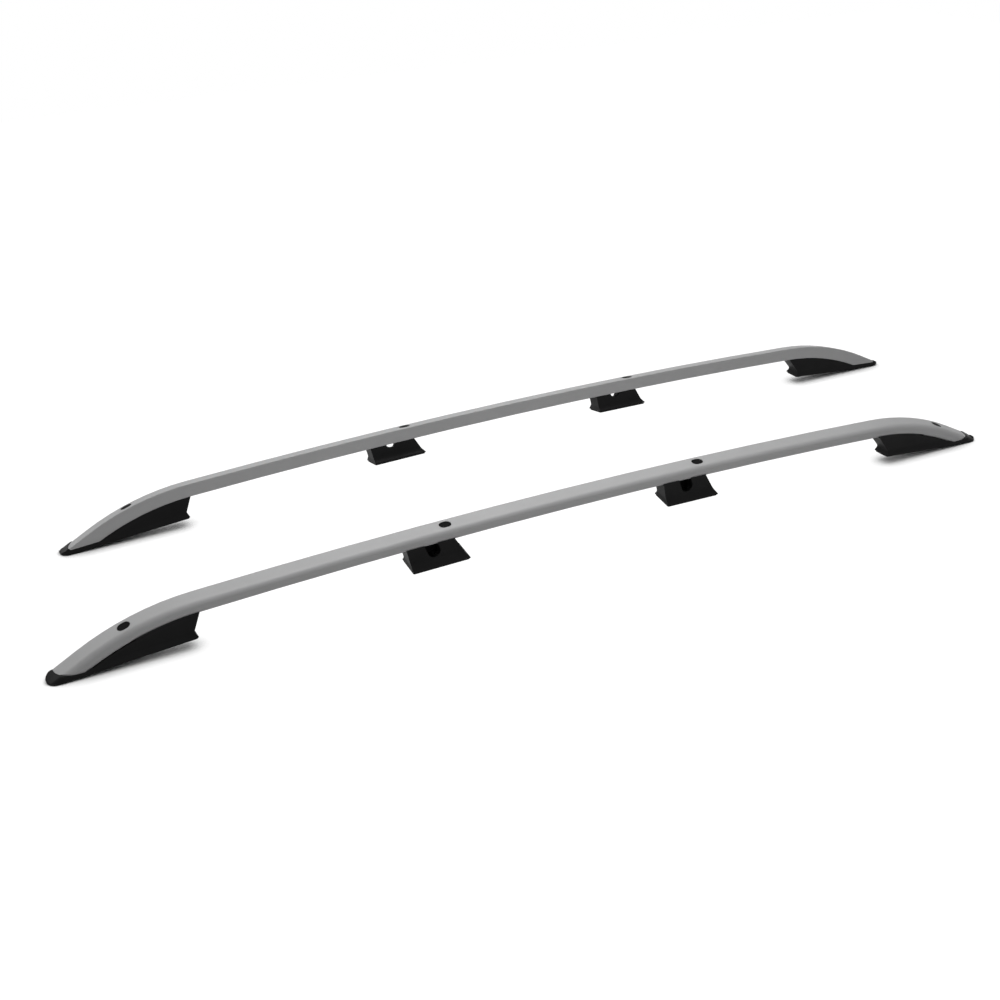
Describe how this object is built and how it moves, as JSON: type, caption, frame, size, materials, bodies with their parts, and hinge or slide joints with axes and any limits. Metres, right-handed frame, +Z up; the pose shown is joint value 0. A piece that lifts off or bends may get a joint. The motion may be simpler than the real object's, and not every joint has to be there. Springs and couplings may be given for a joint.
{
  "type": "roof side rail pair",
  "caption": "Left and right roof side rails: arched aluminium tubes with bent-down ends on black moulded feet, plugged from above and bolted to a car's roof.",
  "frame": {"origin": "centre of the pair's box at floor level", "axes": "+X along the rails towards the rear of the car, +Y across towards the right rail, +Z up"},
  "size_m": [2.1224, 0.5398, 0.1117],
  "materials": {
    "anodised_aluminium": "satin anodised",
    "foot_plastic": "fine grained",
    "plug_plastic": "semi-gloss",
    "pad_rubber": "matt",
    "insert_steel": "zinc plated",
    "screw_steel": "zinc plated"
  },
  "bodies": {
    "root": {"left_foot_screws": "screw_steel", "left_front_end_foot": "foot_plastic", "left_front_end_pad": "pad_rubber", "left_front_hole_plug": "plug_plastic", "left_front_insert": "insert_steel", "left_front_mid_foot": "foot_plastic", "left_front_mid_hole_plug": "plug_plastic", "left_front_mid_pad": "pad_rubber", "left_front_sleeve": "insert_steel", "left_rail": "anodised_aluminium", "left_rear_end_foot": "foot_plastic", "left_rear_end_pad": "pad_rubber", "left_rear_hole_plug": "plug_plastic", "left_rear_insert": "insert_steel", "left_rear_mid_foot": "foot_plastic", "left_rear_mid_hole_plug": "plug_plastic", "left_rear_mid_pad": "pad_rubber", "left_rear_sleeve": "insert_steel", "right_foot_screws": "screw_steel", "right_front_end_foot": "foot_plastic", "right_front_end_pad": "pad_rubber", "right_front_hole_plug": "plug_plastic", "right_front_insert": "insert_steel", "right_front_mid_foot": "foot_plastic", "right_front_mid_hole_plug": "plug_plastic", "right_front_mid_pad": "pad_rubber", "right_front_sleeve": "insert_steel", "right_rail": "anodised_aluminium", "right_rear_end_foot": "foot_plastic", "right_rear_end_pad": "pad_rubber", "right_rear_hole_plug": "plug_plastic", "right_rear_insert": "insert_steel", "right_rear_mid_foot": "foot_plastic", "right_rear_mid_hole_plug": "plug_plastic", "right_rear_mid_pad": "pad_rubber", "right_rear_sleeve": "insert_steel"}
  },
  "joints": []
}
